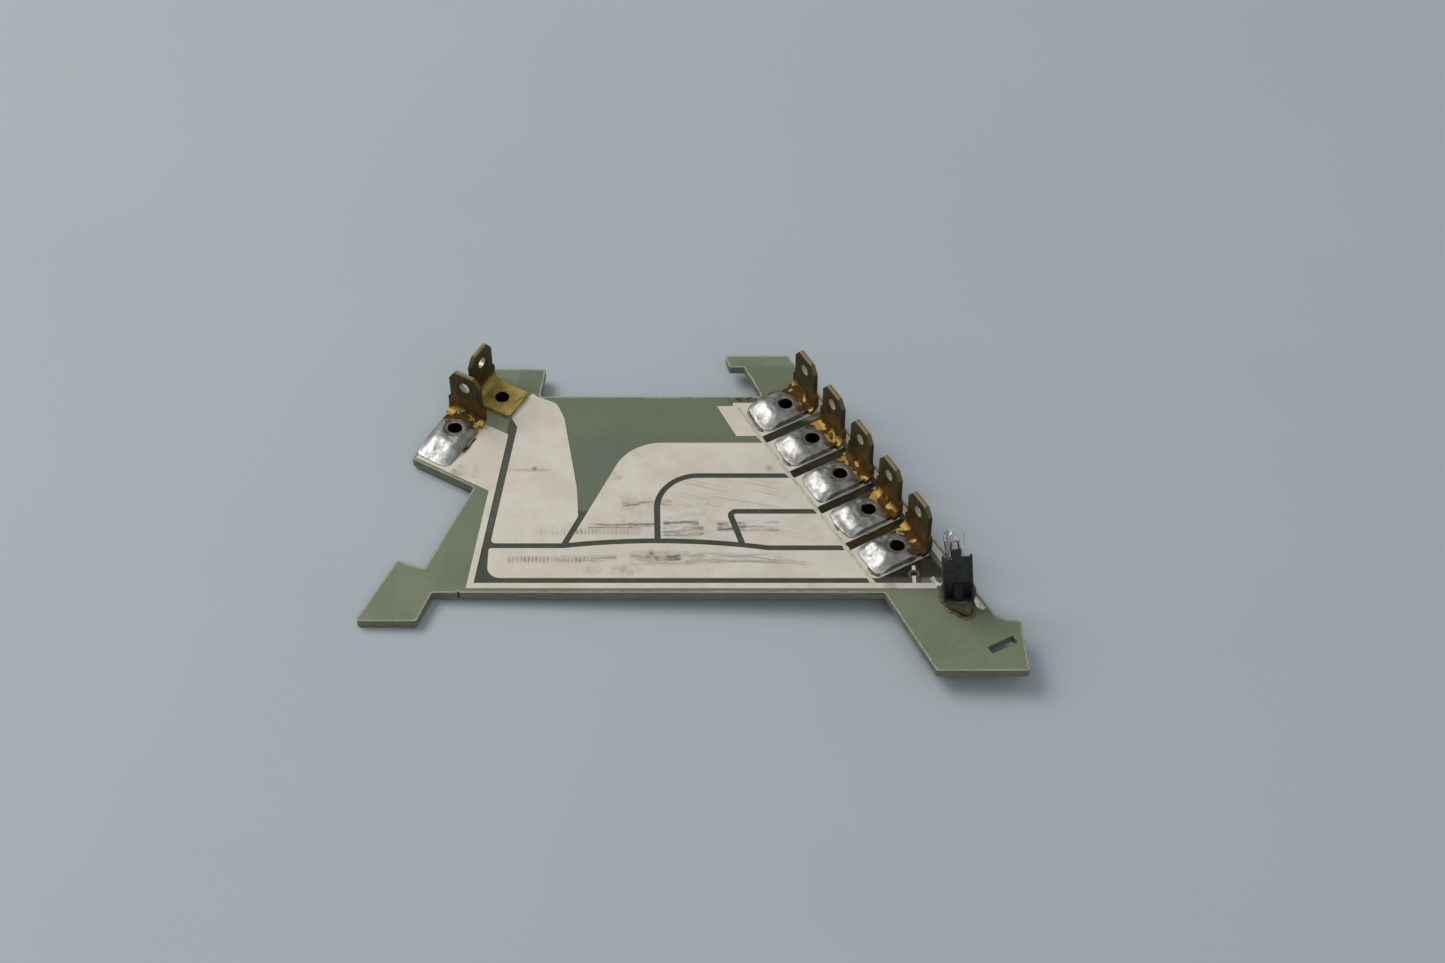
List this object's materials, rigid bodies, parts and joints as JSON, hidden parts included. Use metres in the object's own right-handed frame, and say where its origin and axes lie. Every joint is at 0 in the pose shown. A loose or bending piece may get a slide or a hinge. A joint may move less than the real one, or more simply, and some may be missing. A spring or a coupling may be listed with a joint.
{
  "type": "printed circuit board",
  "caption": "Odd-shaped single-sided switch board with wide tinned tracks, a slanted row of upright blade terminals and a small socketed lamp.",
  "frame": {"origin": "middle of the board's outline in plan, at the level of the lamp socket's lowest face", "axes": "+Z out of the tinned side, +X along the front edge towards the lamp, +Y towards the two ears"},
  "size_m": [0.1102, 0.0692, 0.0217],
  "materials": {
    "laminate": "satin pale green laminate",
    "tinned_copper": "dull tinned copper",
    "brass": "tarnished brass",
    "solder": "bright solder",
    "black_plastic": "satin black",
    "contact_metal": "tinned spring strip",
    "clear_glass": "clear",
    "filament_wire": "fine wire"
  },
  "bodies": {
    "root": {"board": "laminate", "lamp_feed_track": "tinned_copper", "ear_track": "tinned_copper", "row_track_1": "tinned_copper", "row_track_2": "tinned_copper", "row_track_3": "tinned_copper", "row_track_4": "tinned_copper", "row_track_5": "tinned_copper", "stub_track": "tinned_copper", "row_terminal_1": "brass", "row_terminal_2": "brass", "row_terminal_3": "brass", "row_terminal_4": "brass", "row_terminal_5": "brass", "wing_terminal": "brass", "ear_terminal": "brass", "row_solder_1": "solder", "row_solder_2": "solder", "row_solder_3": "solder", "row_solder_4": "solder", "row_solder_5": "solder", "wing_solder": "solder", "lamp_holder": "black_plastic", "lamp_contact_feed": "contact_metal", "lamp_contact_return": "contact_metal", "lamp_bulb": "clear_glass", "lamp_filament": "filament_wire"}
  },
  "joints": []
}
